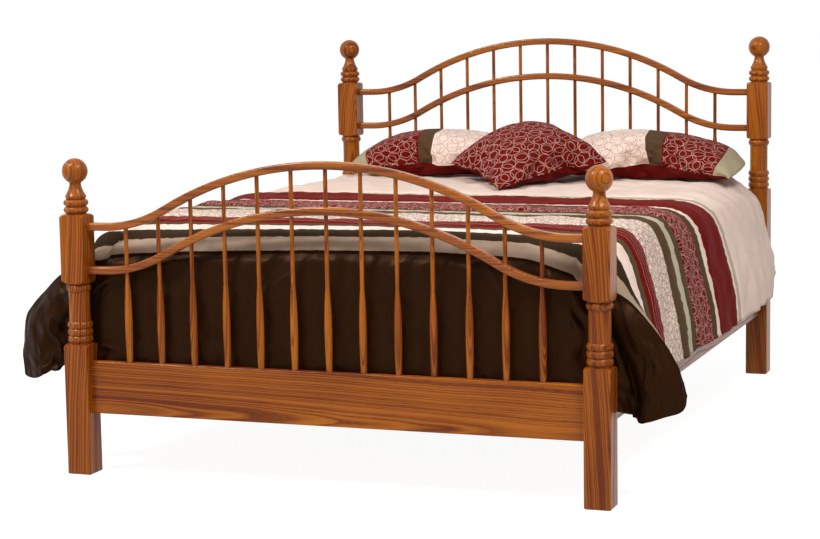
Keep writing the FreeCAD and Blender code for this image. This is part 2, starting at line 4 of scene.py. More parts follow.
import bpy
import numpy as np
from mathutils import Matrix, Vector
from mathutils.bvhtree import BVHTree


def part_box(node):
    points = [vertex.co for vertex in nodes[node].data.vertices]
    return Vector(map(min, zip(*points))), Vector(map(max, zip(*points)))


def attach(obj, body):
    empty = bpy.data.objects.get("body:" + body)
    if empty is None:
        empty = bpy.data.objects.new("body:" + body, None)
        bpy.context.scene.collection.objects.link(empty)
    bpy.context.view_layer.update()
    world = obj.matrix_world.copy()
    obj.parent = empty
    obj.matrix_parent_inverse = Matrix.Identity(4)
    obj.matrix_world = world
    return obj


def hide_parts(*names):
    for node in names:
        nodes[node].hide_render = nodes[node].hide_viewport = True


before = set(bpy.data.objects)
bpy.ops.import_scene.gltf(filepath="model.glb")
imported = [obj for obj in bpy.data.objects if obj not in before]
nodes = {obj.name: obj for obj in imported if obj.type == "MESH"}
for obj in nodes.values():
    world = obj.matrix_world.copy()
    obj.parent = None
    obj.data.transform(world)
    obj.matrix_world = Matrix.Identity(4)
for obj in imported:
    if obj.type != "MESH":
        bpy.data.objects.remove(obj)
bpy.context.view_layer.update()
bpy.context.scene.view_settings.view_transform = "Standard"


def mm(*values):
    return [value / 1000 for value in values]


def linear(hexColour):
    # sRGB hex to the linear colour that a shader takes
    parts = [int(hexColour[i:i + 2], 16) / 255 for i in (1, 3, 5)]
    return [c / 12.92 if c <= 0.04045 else ((c + 0.055) / 1.055) ** 2.4 for c in parts] + [1]


def fillSockets(node, inputs):
    # each socket gets its value, a hex colour, or a link from another node or from one of its sockets
    named = inputs.items() if isinstance(inputs, dict) else enumerate(inputs)
    for key, value in named:
        if isinstance(value, bpy.types.Node):
            value = next(socket for socket in value.outputs if socket.enabled)
        if isinstance(value, bpy.types.NodeSocket):
            node.id_data.links.new(value, node.inputs[key])
        else:
            node.inputs[key].default_value = linear(value) if isinstance(value, str) else value


def addNode(tree, kind, inputs=(), stops=(), steps=False, **settings):
    # one shader node: its settings, what goes into its sockets and, on a ramp, its stops (place, hex or grey)
    node = tree.nodes.new("ShaderNode" + kind)
    for key, value in settings.items():
        setattr(node, key, value)
    if stops:
        points = node.color_ramp.elements
        while len(points) < len(stops):
            points.new(0.5)
        for point, (place, colour) in zip(points, stops):
            point.position = place
            point.color = linear(colour) if isinstance(colour, str) else [colour] * 3 + [1]
        node.color_ramp.interpolation = "CONSTANT" if steps else "LINEAR"
    fillSockets(node, inputs)
    return node


def newMaterial(name):
    material = bpy.data.materials.new(name)
    material.use_nodes = True
    tree = material.node_tree
    tree.nodes.clear()
    shader = addNode(tree, "BsdfPrincipled")
    addNode(tree, "OutputMaterial", {"Surface": shader})
    return material, tree, shader


view = {
    "place": mm(2306.4, -6612.3, 1392.7),
    "yaw": 0.356257,       # to the left of +Y
    "pitch": 0.127851,     # downwards
    "roll": -0.0167584,
    "lens": 94.78, "sensor": 36, "reach": 200,
}
studio = {
    "floorSize": 60.0,
    "skyLight": 0.31,
    "floorGlow": 0.93,      # what the paper gives back by itself, so that it reads white
    "floorShade": "#8c8b8a",
    "paper": "#e6e4e1",
    "softboxSize": 1.3,
    "softboxes": [((2.6, -2.5, 4.2), 135.0), ((-2.5, -3.1, 4.5), 190.0)],   # place, power
    "aim": (0, -0.3, 0.4),
}


def placeCamera():
    yaw, pitch, roll = view["yaw"], view["pitch"], view["roll"]
    forward = Vector((-math.sin(yaw) * math.cos(pitch), math.cos(yaw) * math.cos(pitch), -math.sin(pitch)))
    right = Vector((math.cos(yaw), math.sin(yaw), 0))
    up = right.cross(forward)
    tiltedRight = right * math.cos(roll) + up * math.sin(roll)
    tiltedUp = up * math.cos(roll) - right * math.sin(roll)
    data = bpy.data.cameras.new("camera")
    data.lens = view["lens"]
    data.sensor_width = view["sensor"]
    data.clip_end = view["reach"]
    camera = bpy.data.objects.new("camera", data)
    bpy.context.scene.collection.objects.link(camera)
    turn = Matrix((tiltedRight, tiltedUp, -forward)).transposed().to_4x4()
    camera.matrix_world = Matrix.Translation(Vector(view["place"])) @ turn
    bpy.context.scene.camera = camera


def seenRay(tree):
    # 1 where the camera, a reflection or a view through something looks, 0 for the light on the bed
    seen = addNode(tree, "LightPath").outputs
    mirrored = addNode(tree, "Math", (seen["Is Camera Ray"], seen["Is Glossy Ray"]), operation="MAXIMUM")
    return addNode(tree, "Math", (mirrored, seen["Is Transmission Ray"]), operation="MAXIMUM")


def paperFloor():
    # pale studio paper: white to the eye, it still takes the bed's shadow
    bpy.ops.object.select_all(action="DESELECT")
    bpy.ops.mesh.primitive_plane_add(size=studio["floorSize"], location=(0, 0, 0))
    floor = bpy.context.object
    floor.name = "floor"
    material = bpy.data.materials.new("studioPaper")
    material.use_nodes = True
    tree = material.node_tree
    tree.nodes.clear()
    paper = addNode(tree, "BsdfDiffuse", {"Color": studio["paper"]})
    dim = addNode(tree, "BsdfDiffuse", {"Color": studio["floorShade"]})
    glow = addNode(tree, "Emission", {"Color": (1, 1, 1, 1), "Strength": studio["floorGlow"]})
    shown = addNode(tree, "AddShader", {0: dim, 1: glow})
    mix = addNode(tree, "MixShader", {0: seenRay(tree), 1: paper, 2: shown})
    addNode(tree, "OutputMaterial", {"Surface": mix})
    floor.data.materials.append(material)


def lightStudio():
    world = bpy.data.worlds.new("studio")
    bpy.context.scene.world = world
    world.use_nodes = True
    tree = world.node_tree
    tree.nodes.clear()
    soft = addNode(tree, "Background", {"Color": (1, 1, 1, 1), "Strength": studio["skyLight"]})
    white = addNode(tree, "Background", {"Color": (1, 1, 1, 1), "Strength": 1.0})
    mix = addNode(tree, "MixShader", {0: seenRay(tree), 1: soft, 2: white})
    addNode(tree, "OutputWorld", {"Surface": mix})
    for place, power in studio["softboxes"]:
        data = bpy.data.lights.new("softbox", "AREA")
        data.size = studio["softboxSize"]
        data.energy = power
        lamp = bpy.data.objects.new("softbox", data)
        bpy.context.scene.collection.objects.link(lamp)
        lamp.location = place
        lamp.rotation_euler = (Vector(studio["aim"]) - lamp.location).to_track_quat("-Z", "Y").to_euler()


oak = {
    "light": "#ad6116",       # summer wood between the lines
    "body": "#934a0e",
    "red": "#77330a",         # where the stain took more strongly
    "line": "#5e2208",        # the porous line of each year
    "pore": "#361305",
    "ringWidth": 5.6,         # mm, a year's growth
    "wander": 13.0,           # mm, how far the rings stray
    "poreLong": 22.0,         # mm
    "poreWide": 1.1,          # mm, drawn a little wide so that the render shows it
}


def layOver(tree, colour, mask, share, top):
    # a second colour over the first where the mask is 1
    shown = addNode(tree, "Math", (mask, share), operation="MULTIPLY")
    return addNode(tree, "Mix", {0: shown, 6: colour, 7: top}, data_type="RGBA")


def redOak(name, grain, centre, slope=0.02, ring=1.0, wander=1.0, stretch=1.0, coat=0.18):
    # open-grained oak, planed or turned, stained honey and lacquered: the years show as dark porous lines,
    # the lacquer as a clear satin coat over them
    material, tree, shader = newMaterial(name)
    place = addNode(tree, "TexCoord").outputs["Object"]
    turn = {"X": (0, 0, 0), "Y": (0, 0, -math.pi / 2), "Z": (0, math.pi / 2, 0)}[grain]
    centred = addNode(tree, "Mapping", {"Vector": place, "Location": [-c / 1000 for c in centre]})
    along = addNode(tree, "Mapping", {"Vector": centred, "Rotation": turn})

    def uneven(scale, detail=2.0, roughness=0.5):
        # soft patches, so many to the metre along and across the grain
        stretched = addNode(tree, "Mapping", {"Vector": along, "Scale": scale})
        return addNode(tree, "TexNoise",
                       {"Vector": stretched, "Scale": 1.0, "Detail": detail, "Roughness": roughness})

    # the years are rings about the middle of the board, which stray and lean
    stray = uneven((2.2 / stretch, 9, 9), roughness=0.4)
    parts = addNode(tree, "SeparateXYZ", {"Vector": along}).outputs
    sides = [addNode(tree, "Math", (parts[axis],), operation="ABSOLUTE") for axis in "YZ"]
    squares = [addNode(tree, "Math", (side, 2.0), operation="POWER") for side in sides]
    across = addNode(tree, "Math", (addNode(tree, "Math", squares, operation="ADD"),), operation="SQRT")
    reach = 2 * wander * oak["wander"] / 1000
    radius = addNode(tree, "Math", (stray, reach, across), operation="MULTIPLY_ADD")
    radius = addNode(tree, "Math", (parts["X"], slope, radius), operation="MULTIPLY_ADD")
    years = addNode(tree, "Math", (radius, oak["ringWidth"] * ring / 1000), operation="DIVIDE")
    changing = addNode(tree, "TexNoise", {"W": years, "Scale": 0.6, "Detail": 0.0}, noise_dimensions="1D")
    years = addNode(tree, "Math", (changing, 2.2, years), operation="MULTIPLY_ADD")
    year = addNode(tree, "Math", (years,), operation="FRACT")
    # streaks along the grain over patches of stain
    streak = uneven((7, 160, 160))
    patchy = uneven((1.3, 5, 5))
    stained = addNode(tree, "ValToRGB", (patchy,),
                      [(0.36, oak["red"]), (0.5, oak["body"]), (0.64, oak["light"])])
    faded = addNode(tree, "ValToRGB", (streak,), [(0.3, "#b08060"), (0.62, "#ffffff")])
    streaked = addNode(tree, "Mix", {0: 0.5, 6: stained, 7: faded}, data_type="RGBA", blend_type="MULTIPLY")
    late = addNode(tree, "ValToRGB", (year,), [(0.3, 0.0), (0.62, 0.75), (0.9, 0.0)])
    summer = addNode(tree, "Mix", {0: late, 6: streaked, 7: oak["light"]}, data_type="RGBA")
    # each year's line, broken up by pores and weaker in some years
    thin = 1000 / oak["poreWide"]
    pore = uneven((1000 / oak["poreLong"], thin, thin), detail=1.5)
    lineShape = addNode(tree, "ValToRGB", (year,),
                        [(0.0, 1.0), (0.12, 0.9), (0.27, 0.15), (0.42, 0.0), (0.9, 0.0), (1.0, 1.0)])
    strength = addNode(tree, "ValToRGB", (pore,), [(0.32, 0.45), (0.6, 1.0)])
    lines = addNode(tree, "Math", (lineShape, strength), operation="MULTIPLY")
    weak = addNode(tree, "TexNoise", {"W": years, "Scale": 0.23, "Detail": 0.0}, noise_dimensions="1D")
    fainter = addNode(tree, "ValToRGB", (weak,), [(0.35, 0.45), (0.6, 1.0)])
    lines = addNode(tree, "Math", (lines, fainter), operation="MULTIPLY")
    colour = layOver(tree, summer, lines, 0.95, oak["line"])
    speckled = addNode(tree, "ValToRGB", (pore,), [(0.58, 0.0), (0.68, 1.0)])
    nearLine = addNode(tree, "Math", (lineShape, 0.7, 0.28), operation="MULTIPLY_ADD")
    flecks = addNode(tree, "Math", (speckled, nearLine), operation="MULTIPLY")
    colour = layOver(tree, colour, flecks, 0.7, oak["pore"])
    hollow = addNode(tree, "Math", (flecks, lines), operation="ADD")
    sunk = addNode(tree, "Math", (hollow, -1.0), operation="MULTIPLY")
    bump = addNode(tree, "Bump", {"Height": sunk, "Strength": 0.3, "Distance": 0.0003})
    dull = addNode(tree, "Math", (lines, 0.2, 0.36), operation="MULTIPLY_ADD")
    fillSockets(shader, {"Base Color": colour, "Roughness": dull, "Normal": bump})
    shader.inputs["IOR"].default_value = 1.5
    shader.inputs["Specular IOR Level"].default_value = 0.2
    shader.inputs["Specular Tint"].default_value = linear("#ffdcae")
    shader.inputs["Coat Weight"].default_value = coat
    shader.inputs["Coat Roughness"].default_value = 0.12
    return material


def plainWood():
    # planed softwood, left bare: pale, dull and faintly striped
    material, tree, shader = newMaterial("barePine")
    place = addNode(tree, "TexCoord").outputs["Object"]
    along = addNode(tree, "Mapping", {"Vector": place, "Scale": (3, 30, 120)})
    grain = addNode(tree, "TexNoise", {"Vector": along, "Scale": 1.0, "Detail": 4.0, "Distortion": 0.6})
    colour = addNode(tree, "ValToRGB", (grain,), [(0.3, "#b98f5d"), (0.5, "#d6b483"), (0.75, "#e0c496")])
    bump = addNode(tree, "Bump", {"Height": grain, "Strength": 0.2, "Distance": 0.0005})
    fillSockets(shader, {"Base Color": colour, "Normal": bump})
    shader.inputs["Roughness"].default_value = 0.72
    return material


def zincSteel():
    # zinc-plated steel, rolled and stamped: bright grey with a fine blotch
    material, tree, shader = newMaterial("zincPlate")
    place = addNode(tree, "TexCoord").outputs["Object"]
    blotch = addNode(tree, "TexNoise", {"Vector": place, "Scale": 220.0, "Detail": 3.0})
    colour = addNode(tree, "ValToRGB", (blotch,), [(0.3, "#8f9295"), (0.7, "#b9bcbe")])
    rough = addNode(tree, "ValToRGB", (blotch,), [(0.3, 0.42), (0.7, 0.3)])
    fillSockets(shader, {"Base Color": colour, "Roughness": rough})
    shader.inputs["Metallic"].default_value = 1.0
    return material


def finishFrame():
    upright = redOak("oakUpright", "Z", (40, -330, 0), 0.05, 1.2)
    footPanel = redOak("oakFootPanel", "X", (0, -1060, 196), 0.024, 1.3, 0.7, 0.9)
    headPanel = redOak("oakHeadPanel", "X", (0, 1060, 160), -0.02, 1.5, 0.7, 0.9)
    sawn = redOak("oakArches", "X", (0, 0, -900), 0.004, 1.2, 0.35, 1.3, 0.45)
    rails = redOak("oakSideRails", "Y", (0, 0, 0), 0.01, 0.9)
    bare = plainWood()
    zinc = zincSteel()
    for name, item in nodes.items():
        if name.endswith("_panel"):
            finish = footPanel if name.startswith("foot") else headPanel
        elif name.startswith("side_rail"):
            finish = rails
        elif name.endswith("_rail"):
            finish = sawn
        elif "_post_" in name or "_spindle_" in name:
            finish = upright
        elif name.startswith(("ledger", "slat")):
            finish = bare
        elif name in ("slot_plates", "hook_plates", "plate_screws", "ledger_screws"):
            finish = zinc
        else:
            continue
        item.data.materials.clear()
        item.data.materials.append(finish)


cloths = {
    "cream": "#f5ddcf", "sage": "#c0b59b", "olive": "#57422e", "darkOlive": "#36271a", "taupe": "#ab9480",
    "stone": "#aea184", "chocolate": "#241106", "burgundy": "#6e140f", "backing": "#5f120f",
    "pinkThread": "#dcaea3", "darkThread": "#78594c", "greenThread": "#8a8468",
    "ringSize": 40.0,        # mm across, a stitched ring
    "threadWide": 1.15,      # mm: a real thread is 1 mm, drawn wider so that the render shows it
    "ringStep": 1.16,        # from ring to ring, as a share of a ring
    "ringStray": 0.16,       # how far the rings stand off their grid, as a share of that step
    "smallLoop": (29.0, 1.4), "bigLoop": (42.0, 1.2),    # mm: size and thread of the wavy loops
    "loopWobble": 3.0,
    "weave": 2.4,            # mm between threads, drawn coarse for the same reason
    "stitchLines": 17.0,     # mm between the straight lines of stitching
}


def bandMask(tree, value, low, high):
    # 1 between low and high, which are in mm
    above = addNode(tree, "Math", (value, low / 1000), operation="GREATER_THAN")
    below = addNode(tree, "Math", (value, high / 1000), operation="LESS_THAN")
    return addNode(tree, "Math", (above, below), operation="MULTIPLY")


def stitchedRings(tree, flat, size, thread, layers, wobble=1.6):
    # rings of thread that overlap: each layer is a loose grid of circles, turned and shifted
    sway = addNode(tree, "TexNoise", {"Vector": flat, "Scale": 28.0, "Detail": 1.0}).outputs["Color"]
    sway = addNode(tree, "VectorMath", (sway, (0.5, 0.5, 0.5)), operation="SUBTRACT")
    pushed = addNode(tree, "VectorMath", (sway, [3 * wobble / 1000] * 3, flat), operation="MULTIPLY_ADD")
    total = None
    cell = size * cloths["ringStep"]
    for index in range(layers):
        spread = addNode(tree, "Mapping", {
            "Vector": pushed, "Scale": [1000 / cell * (1 + 0.07 * index)] * 3,
            "Rotation": (0, 0, 0.5 * index), "Location": (0.37 * index + 0.11, 0.61 * index + 0.23, 0)})
        near = addNode(tree, "TexVoronoi",
                       {"Vector": spread, "Scale": 1.0, "Randomness": cloths["ringStray"]},
                       voronoi_dimensions="2D")
        away = addNode(tree, "Math", (near, 0.5 * size / cell), operation="SUBTRACT")
        away = addNode(tree, "Math", (away,), operation="ABSOLUTE")
        away = addNode(tree, "Math", (away, thread / cell), operation="DIVIDE")
        line = addNode(tree, "Math", (1.0, away), operation="SUBTRACT")
        line = addNode(tree, "Math", (line, 0.0), operation="MAXIMUM")
        total = line if total is None else addNode(tree, "Math", (total, line), operation="MAXIMUM")
    bold = addNode(tree, "Math", (total, 1.6), operation="MULTIPLY")
    return addNode(tree, "Math", (bold, 1.0), operation="MINIMUM")


def clothBase(name, sheen=0.01, rough=0.7, gloss=0.05, shine="#ffd9b6"):
    # woven cotton sateen: dull, with a faint bloom where it turns away, and threads that break up the colour
    material, tree, shader = newMaterial(name)
    flat = addNode(tree, "UVMap", uv_map="cut")
    pick = 1000 / cloths["weave"]
    threads = addNode(tree, "Mapping", {"Vector": flat, "Scale": (pick / 6, pick, 1)})
    weave = addNode(tree, "TexNoise", {"Vector": threads, "Scale": 1.0, "Detail": 1.0})
    cloudy = addNode(tree, "TexNoise", {"Vector": flat, "Scale": 9.0, "Detail": 2.0})
    shader.inputs["Roughness"].default_value = rough
    shader.inputs["Sheen Weight"].default_value = sheen
    shader.inputs["Sheen Roughness"].default_value = 0.45
    shader.inputs["IOR"].default_value = 1.45
    shader.inputs["Specular IOR Level"].default_value = gloss
    shader.inputs["Specular Tint"].default_value = linear(shine)
    return material, tree, shader, flat, weave, cloudy


def finishCloth(tree, shader, colour, weave, cloudy, relief=None):
    # the threads and a soft cloudiness break up the colour, and the stitching stands up a little
    grey = addNode(tree, "ValToRGB", (weave,), [(0.3, "#e8e4e0"), (0.7, "#ffffff")])
    toned = addNode(tree, "Mix", {0: 0.5, 6: colour, 7: grey}, data_type="RGBA", blend_type="MULTIPLY")
    grey = addNode(tree, "ValToRGB", (cloudy,), [(0.35, "#e9e3de"), (0.65, "#ffffff")])
    toned = addNode(tree, "Mix", {0: 0.35, 6: toned, 7: grey}, data_type="RGBA", blend_type="MULTIPLY")
    bump = addNode(tree, "Bump", {"Height": weave, "Strength": 0.16, "Distance": 0.0006})
    if relief is not None:
        bump = addNode(tree, "Bump", {"Height": relief, "Normal": bump, "Strength": 0.6, "Distance": 0.0012})
    fillSockets(shader, {"Base Color": toned, "Normal": bump})
    return bump


def quiltCloth(name, rough, gloss, shine):
    # the cover's bands with their stitching; as satin it is smoother, with a soft warm shine along its creases
    material, tree, shader, flat, weave, cloudy = clothBase(name, 0.01, rough, gloss, shine)
    parts = addNode(tree, "SeparateXYZ", {"Vector": flat}).outputs
    # sewn edges run nearly straight, but the narrow cream band is hemmed loosely
    edge = addNode(tree, "TexNoise", {"Vector": flat, "Scale": 22.0, "Detail": 1.0})
    edge = addNode(tree, "Math", (edge, 0.5), operation="SUBTRACT")
    loose = addNode(tree, "Math", (bandMask(tree, parts["Y"], *cover["looseHem"]), 0.010, 0.0015),
                    operation="MULTIPLY_ADD")
    along = addNode(tree, "Math", (edge, loose, parts["Y"]), operation="MULTIPLY_ADD")
    # on the left corner the satin is turned over the edge of the taupe band
    outside = addNode(tree, "Math", (parts["X"], -0.8), operation="LESS_THAN")
    turned = addNode(tree, "Math", (outside, bandMask(tree, parts["Y"], *cover["turnedEdge"])),
                     operation="MULTIPLY")
    along = addNode(tree, "Math", (turned, -0.03, along), operation="MULTIPLY_ADD")
    span = (cover["head"] - cover["foot"]) / 1000
    fromFoot = addNode(tree, "Math", (along, cover["foot"] / 1000), operation="SUBTRACT")
    share = addNode(tree, "Math", (fromFoot, span), operation="DIVIDE")
    stops = [((low - cover["foot"]) / 1000 / span, cloths[tone]) for low, tone in cover["bands"]]
    colour = addNode(tree, "ValToRGB", (share,), stops, steps=True)
    rings = stitchedRings(tree, flat, cloths["ringSize"], cloths["threadWide"], 3)
    rings = addNode(tree, "Math", (rings, bandMask(tree, along, *cover["ringBand"])), operation="MULTIPLY")
    colour = layOver(tree, colour, rings, 0.85, cloths["pinkThread"])
    loops = stitchedRings(tree, flat, *cloths["smallLoop"], 3, cloths["loopWobble"])
    loops = addNode(tree, "Math", (loops, bandMask(tree, along, *cover["loopBand"])), operation="MULTIPLY")
    hue = addNode(tree, "ValToRGB", (cloudy,), [(0.42, cloths["darkThread"]), (0.58, cloths["greenThread"])])
    colour = layOver(tree, colour, loops, 0.8, hue)
    # straight lines of stitching along the burgundy band
    row = addNode(tree, "Math", (along, cloths["stitchLines"] / 1000), operation="DIVIDE")
    row = addNode(tree, "Math", (row,), operation="FRACT")
    row = addNode(tree, "Math", (row, 0.5), operation="SUBTRACT")
    row = addNode(tree, "Math", (row,), operation="ABSOLUTE")
    row = addNode(tree, "Math", (row, 0.05), operation="LESS_THAN")
    row = addNode(tree, "Math", (row, bandMask(tree, along, *cover["lineBand"])), operation="MULTIPLY")
    colour = layOver(tree, colour, row, 0.6, cloths["pinkThread"])
    relief = addNode(tree, "Math", (rings, loops), operation="ADD")
    relief = addNode(tree, "Math", (relief, row), operation="ADD")
    threads = finishCloth(tree, shader, colour, weave, cloudy, relief)
    # the satin foot is crushed into soft creases, most of all where it gathers beside the posts
    bent = addNode(tree, "TexNoise", {"Vector": flat, "Scale": 6.5, "Detail": 1.5, "Roughness": 0.4,
                                      "Distortion": 1.1})
    bent = addNode(tree, "Math", (bent, 0.5), operation="SUBTRACT")
    bent = addNode(tree, "Math", (bent,), operation="ABSOLUTE")
    crush = addNode(tree, "Math", (bent, -5.0), operation="MULTIPLY")
    beside = addNode(tree, "Math", (parts["X"],), operation="ABSOLUTE")
    beside = addNode(tree, "Math", (beside, cover["topHalf"] / 1000), operation="GREATER_THAN")
    gathered = addNode(tree, "Math", (beside, 0.65, 0.35), operation="MULTIPLY_ADD")
    satin = addNode(tree, "Math", (along, cover["satinSeam"] / 1000), operation="LESS_THAN")
    crush = addNode(tree, "Math", (crush, gathered), operation="MULTIPLY")
    crush = addNode(tree, "Math", (crush, satin), operation="MULTIPLY")
    bump = addNode(tree, "Bump", {"Height": crush, "Normal": threads, "Strength": 0.9, "Distance": 0.012})
    fillSockets(shader, {"Normal": bump})
    return material


def shamCloth(settings):
    # the bands run across the sham, from its outer end: stone, rings, olive, then stitched cream
    material, tree, shader, flat, weave, cloudy = clothBase(settings["name"] + "Sateen")
    parts = addNode(tree, "SeparateXYZ", {"Vector": flat}).outputs
    fromEnd = addNode(tree, "Math", (parts["X"], -settings["outward"], settings["wide"] / 2000),
                      operation="MULTIPLY_ADD")
    # the bands were sewn a little askew
    fromEnd = addNode(tree, "Math", (parts["Y"], -0.05, fromEnd), operation="MULTIPLY_ADD")
    span = settings["wide"] / 1000
    lows = [low for low, tone in settings["bands"]]
    stops = [(low / 1000 / span, cloths[tone]) for low, tone in settings["bands"]]
    share = addNode(tree, "Math", (fromEnd, span), operation="DIVIDE")
    colour = addNode(tree, "ValToRGB", (share,), stops, steps=True)
    rings = stitchedRings(tree, flat, cloths["ringSize"], cloths["threadWide"], 2)
    rings = addNode(tree, "Math", (rings, bandMask(tree, fromEnd, lows[1] + 4, lows[2] - 4)),
                    operation="MULTIPLY")
    colour = layOver(tree, colour, rings, 0.9, cloths["pinkThread"])
    loops = stitchedRings(tree, flat, *cloths["bigLoop"], 2, cloths["loopWobble"])
    loops = addNode(tree, "Math", (loops, bandMask(tree, fromEnd, lows[3] + 4, 2 * settings["wide"])),
                    operation="MULTIPLY")
    colour = layOver(tree, colour, loops, 0.6, cloths["darkThread"])
    stitches = addNode(tree, "Math", (rings, loops), operation="ADD")
    finishCloth(tree, shader, colour, weave, cloudy, stitches)
    return material


def throwCloth():
    # burgundy all over, stitched with rings of pale thread
    material, tree, shader, flat, weave, cloudy = clothBase("ringStitchedSateen")
    rings = stitchedRings(tree, flat, cloths["ringSize"], cloths["threadWide"], 2)
    colour = layOver(tree, cloths["burgundy"], rings, 0.95, cloths["pinkThread"])
    finishCloth(tree, shader, colour, weave, cloudy, rings)
    return material


def plainCloth(name, colour):
    # one plain dull colour, for the backs of the pillows
    material, tree, shader, flat, weave, cloudy = clothBase(name)
    finishCloth(tree, shader, colour, weave, cloudy)
    return material


def tickingCloth(name, ground, stripe, pitch):
    # close cotton ticking: a dull pale ground with groups of three thin woven stripes, pitch mm apart
    material, tree, shader, flat, weave, cloudy = clothBase(name, 0.02, 0.85)
    parts = addNode(tree, "SeparateXYZ", {"Vector": flat}).outputs
    place = addNode(tree, "Math", (parts["X"], pitch / 1000), operation="DIVIDE")
    place = addNode(tree, "Math", (place,), operation="FRACT")
    stops = [(0.0, 0.0), (0.34, 1.0), (0.42, 0.0), (0.46, 1.0), (0.54, 0.0), (0.58, 1.0), (0.66, 0.0)]
    stripes = addNode(tree, "ValToRGB", (place,), stops, steps=True)
    colour = addNode(tree, "Mix", {0: stripes, 6: ground, 7: stripe}, data_type="RGBA")
    finishCloth(tree, shader, colour, weave, cloudy)
    return material


# helpers for cloth: all of them work on arrays of points in mm
def ripples(across, along, wideAcross, wideAlong, seed, count=22):
    # a smooth, seeded unevenness between about -1 and 1
    rng = np.random.default_rng(seed)
    total = np.zeros(np.broadcast(across, along).shape)
    for _ in range(count):
        turn = rng.uniform(0, 2 * math.pi)
        rate = rng.uniform(0.55, 1.45)
        wave = 2 * math.pi * rate * (math.cos(turn) * across / wideAcross + math.sin(turn) * along / wideAlong)
        total += np.cos(wave + rng.uniform(0, 2 * math.pi))
    return total / math.sqrt(count)


def smooth(x, low, high):
    x = np.clip((x - low) / (high - low), 0, 1)
    return x * x * (3 - 2 * x)


def crease(across, along, start, end, high, wide):
    # a soft ridge from start to end that fades out at both
    start, run = np.array(start, float), np.array(end, float) - np.array(start, float)
    long = np.hypot(*run)
    share = ((across - start[0]) * run[0] + (along - start[1]) * run[1]) / long**2
    away = np.abs((across - start[0]) * run[1] - (along - start[1]) * run[0]) / long
    return high * np.exp(-(away / wide)**2) * smooth(share, -0.15, 0.3) * smooth(-share, -1.15, -0.7)


def alongLine(points, share):
    # points on a curve through the given points, at shares 0 to 1 of the way along it
    points = np.array(points, float)
    steps = np.linalg.norm(np.diff(points, axis=0), axis=1)
    place = np.concatenate([[0], np.cumsum(steps)]) / steps.sum()
    slopes = np.gradient(points, place, axis=0)
    share = np.clip(share, 0, 1)
    i = np.clip(np.searchsorted(place, share, side="right") - 1, 0, len(place) - 2)
    gap = (place[i + 1] - place[i])[..., None]
    x = ((share - place[i]) / (place[i + 1] - place[i]))[..., None]
    return ((2 * x**3 - 3 * x**2 + 1) * points[i] + (x**3 - 2 * x**2 + x) * gap * slopes[i]
            + (3 * x**2 - 2 * x**3) * points[i + 1] + (x**3 - x**2) * gap * slopes[i + 1])


def gridNormals(points):
    one = np.gradient(points, axis=1)
    two = np.gradient(points, axis=0)
    normal = np.cross(two, one)
    return normal / np.maximum(np.linalg.norm(normal, axis=-1, keepdims=True), 1e-9)


def quads(index):
    # the faces between the neighbours of a grid of point numbers
    return np.stack([index[:-1, :-1], index[:-1, 1:], index[1:, 1:], index[1:, :-1]], -1).reshape(-1, 4)


def clothMesh(name, points, faces, flat):
    # points and their places on the flat cloth, in mm; the flat places become the UV map, in metres
    mesh = bpy.data.meshes.new(name)
    mesh.from_pydata((points / 1000).tolist(), [], faces.tolist())
    layer = mesh.uv_layers.new(name="cut")
    layer.data.foreach_set("uv", (flat / 1000)[faces.reshape(-1)].astype(np.float32).ravel())
    item = bpy.data.objects.new(name, mesh)
    bpy.context.scene.collection.objects.link(item)
    return item


def selectOnly(item):
    bpy.ops.object.select_all(action="DESELECT")
    bpy.context.view_layer.objects.active = item
    item.select_set(True)


def applyModifier(item, kind, **settings):
    modifier = item.modifiers.new(kind.title(), kind)
    for key, value in settings.items():
        setattr(modifier, key, value)
    selectOnly(item)
    bpy.ops.object.modifier_apply(modifier=modifier.name)


